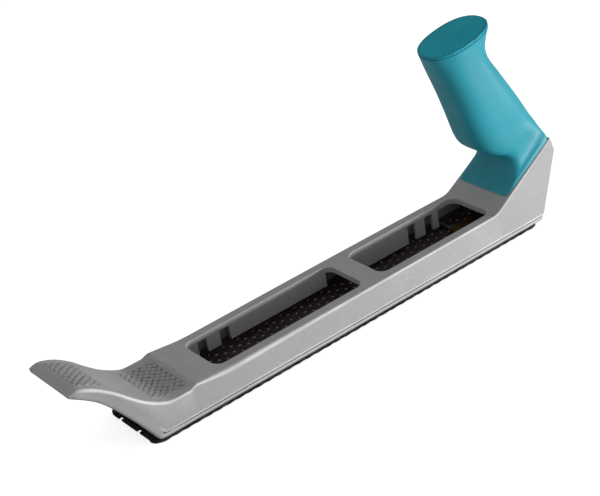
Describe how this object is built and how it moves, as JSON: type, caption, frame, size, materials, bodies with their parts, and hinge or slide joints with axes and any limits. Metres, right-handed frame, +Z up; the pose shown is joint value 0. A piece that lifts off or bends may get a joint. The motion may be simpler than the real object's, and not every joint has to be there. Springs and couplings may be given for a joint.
{
  "type": "body file",
  "caption": "Plane-type rasp with a cast body, a perforated toothed blade held by a tension screw, an upturned toe grip and a raised rear handle.",
  "frame": {"origin": "under the middle of the whole tool, at the tooth tips that it rests on", "axes": "+X from the toe to the heel, +Y to the tool's right as it is pushed, +Z up"},
  "size_m": [0.303, 0.0456, 0.1181],
  "materials": {
    "cast_metal": "satin",
    "teal_plastic": "satin",
    "dark_teal_plastic": "satin",
    "black_blade": "satin",
    "bright_steel": "satin",
    "yellow_zinc": "satin"
  },
  "bodies": {
    "frame": {"body_casting": "cast_metal", "handle_grip": "teal_plastic", "handle_end_cap": "dark_teal_plastic", "handle_screw_left": "bright_steel", "handle_screw_right": "bright_steel", "handle_washer_left": "bright_steel", "handle_washer_right": "bright_steel", "tension_washer": "bright_steel"},
    "blade": {"rasp_blade": "black_blade", "blade_pin_front": "bright_steel", "blade_pin_rear": "bright_steel"},
    "hook": {"tension_hook": "yellow_zinc", "tension_nut": "bright_steel"},
    "screw": {"tension_screw": "bright_steel"}
  },
  "joints": [
    {"name": "tension_screw_turn", "type": "hinge", "parent": "frame", "child": "screw", "pos_m": [0.13928, 0, 0.0115], "axis": [1, 0, 0], "range_deg": [0, 1800]},
    {"name": "tension_hook_slide", "type": "slide", "parent": "frame", "child": "hook", "axis": [-1, 0, 0], "range_m": [0, 0.004]},
    {"name": "blade_release", "type": "slide", "parent": "frame", "child": "blade", "axis": [0, 0, -1], "range_m": [0, 0.03]}
  ],
  "couplings": [
    {"joint": "tension_screw_turn", "follows": "tension_hook_slide", "rad_per_m": 7854}
  ]
}
